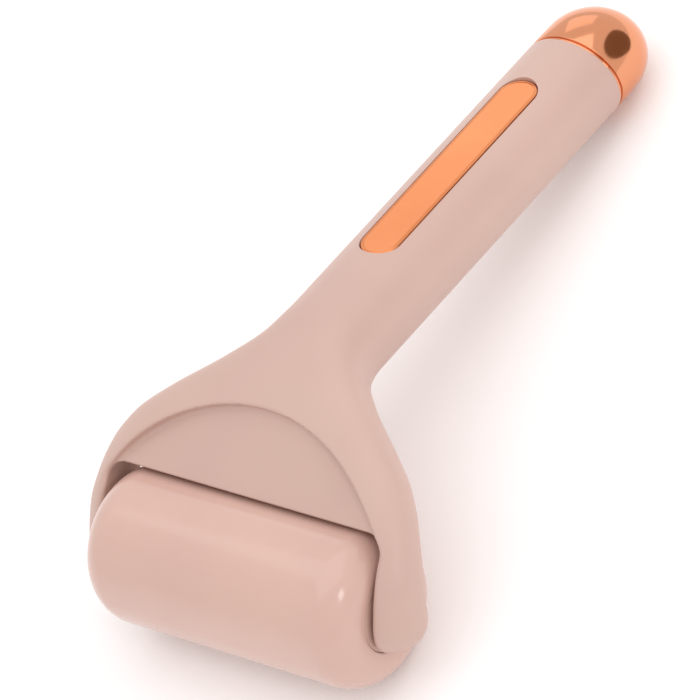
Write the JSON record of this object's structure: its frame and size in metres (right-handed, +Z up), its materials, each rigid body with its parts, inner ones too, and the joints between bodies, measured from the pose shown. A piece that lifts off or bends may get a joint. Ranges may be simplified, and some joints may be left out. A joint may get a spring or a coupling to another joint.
{
  "type": "facial ice roller",
  "caption": "Hand-held facial cooling roller: a wide gel-filled drum turns between two arms below a broad hood, on an oval grip with a plated inlay and domed cap.",
  "frame": {"origin": "on the table below the middle of the tool, at the centre of its bounding box, as it rests on its drum and its cap", "axes": "+X along the drum's axis, +Y along the grip towards the cap, +Z up from the table"},
  "size_m": [0.094, 0.184, 0.0492],
  "materials": {
    "body": "satin blush pink moulding",
    "drum": "satin pale pink moulding",
    "rose_gold": "brushed rose gold plating",
    "rose_gold_cap": "polished rose gold plating",
    "steel": "plain",
    "inner_plastic": "natural",
    "gel": "clear gel",
    "film": "adhesive film",
    "seal": "matte"
  },
  "bodies": {
    "handle": {"top_shell": "body", "bottom_shell": "body", "hood_screws": "steel", "grip_screws": "steel", "inlay_plate": "rose_gold", "inlay_tape": "film", "end_cap": "rose_gold_cap", "cap_ring": "rose_gold_cap", "cap_plug": "inner_plastic", "axle": "steel", "washer_left": "inner_plastic", "washer_right": "inner_plastic"},
    "roller": {"drum_shell": "drum", "drum_cap_left": "drum", "drum_cap_right": "drum", "core_tube": "inner_plastic", "gel_fill": "gel", "fill_plug": "drum", "seal_ring_left": "seal", "seal_ring_right": "seal", "bush_left": "inner_plastic", "bush_right": "inner_plastic"}
  },
  "joints": [
    {"name": "roller_spin", "type": "hinge", "parent": "handle", "child": "roller", "pos_m": [0, -0.07341, 0.0186], "axis": [1, 0, 0], "continuous": true}
  ]
}
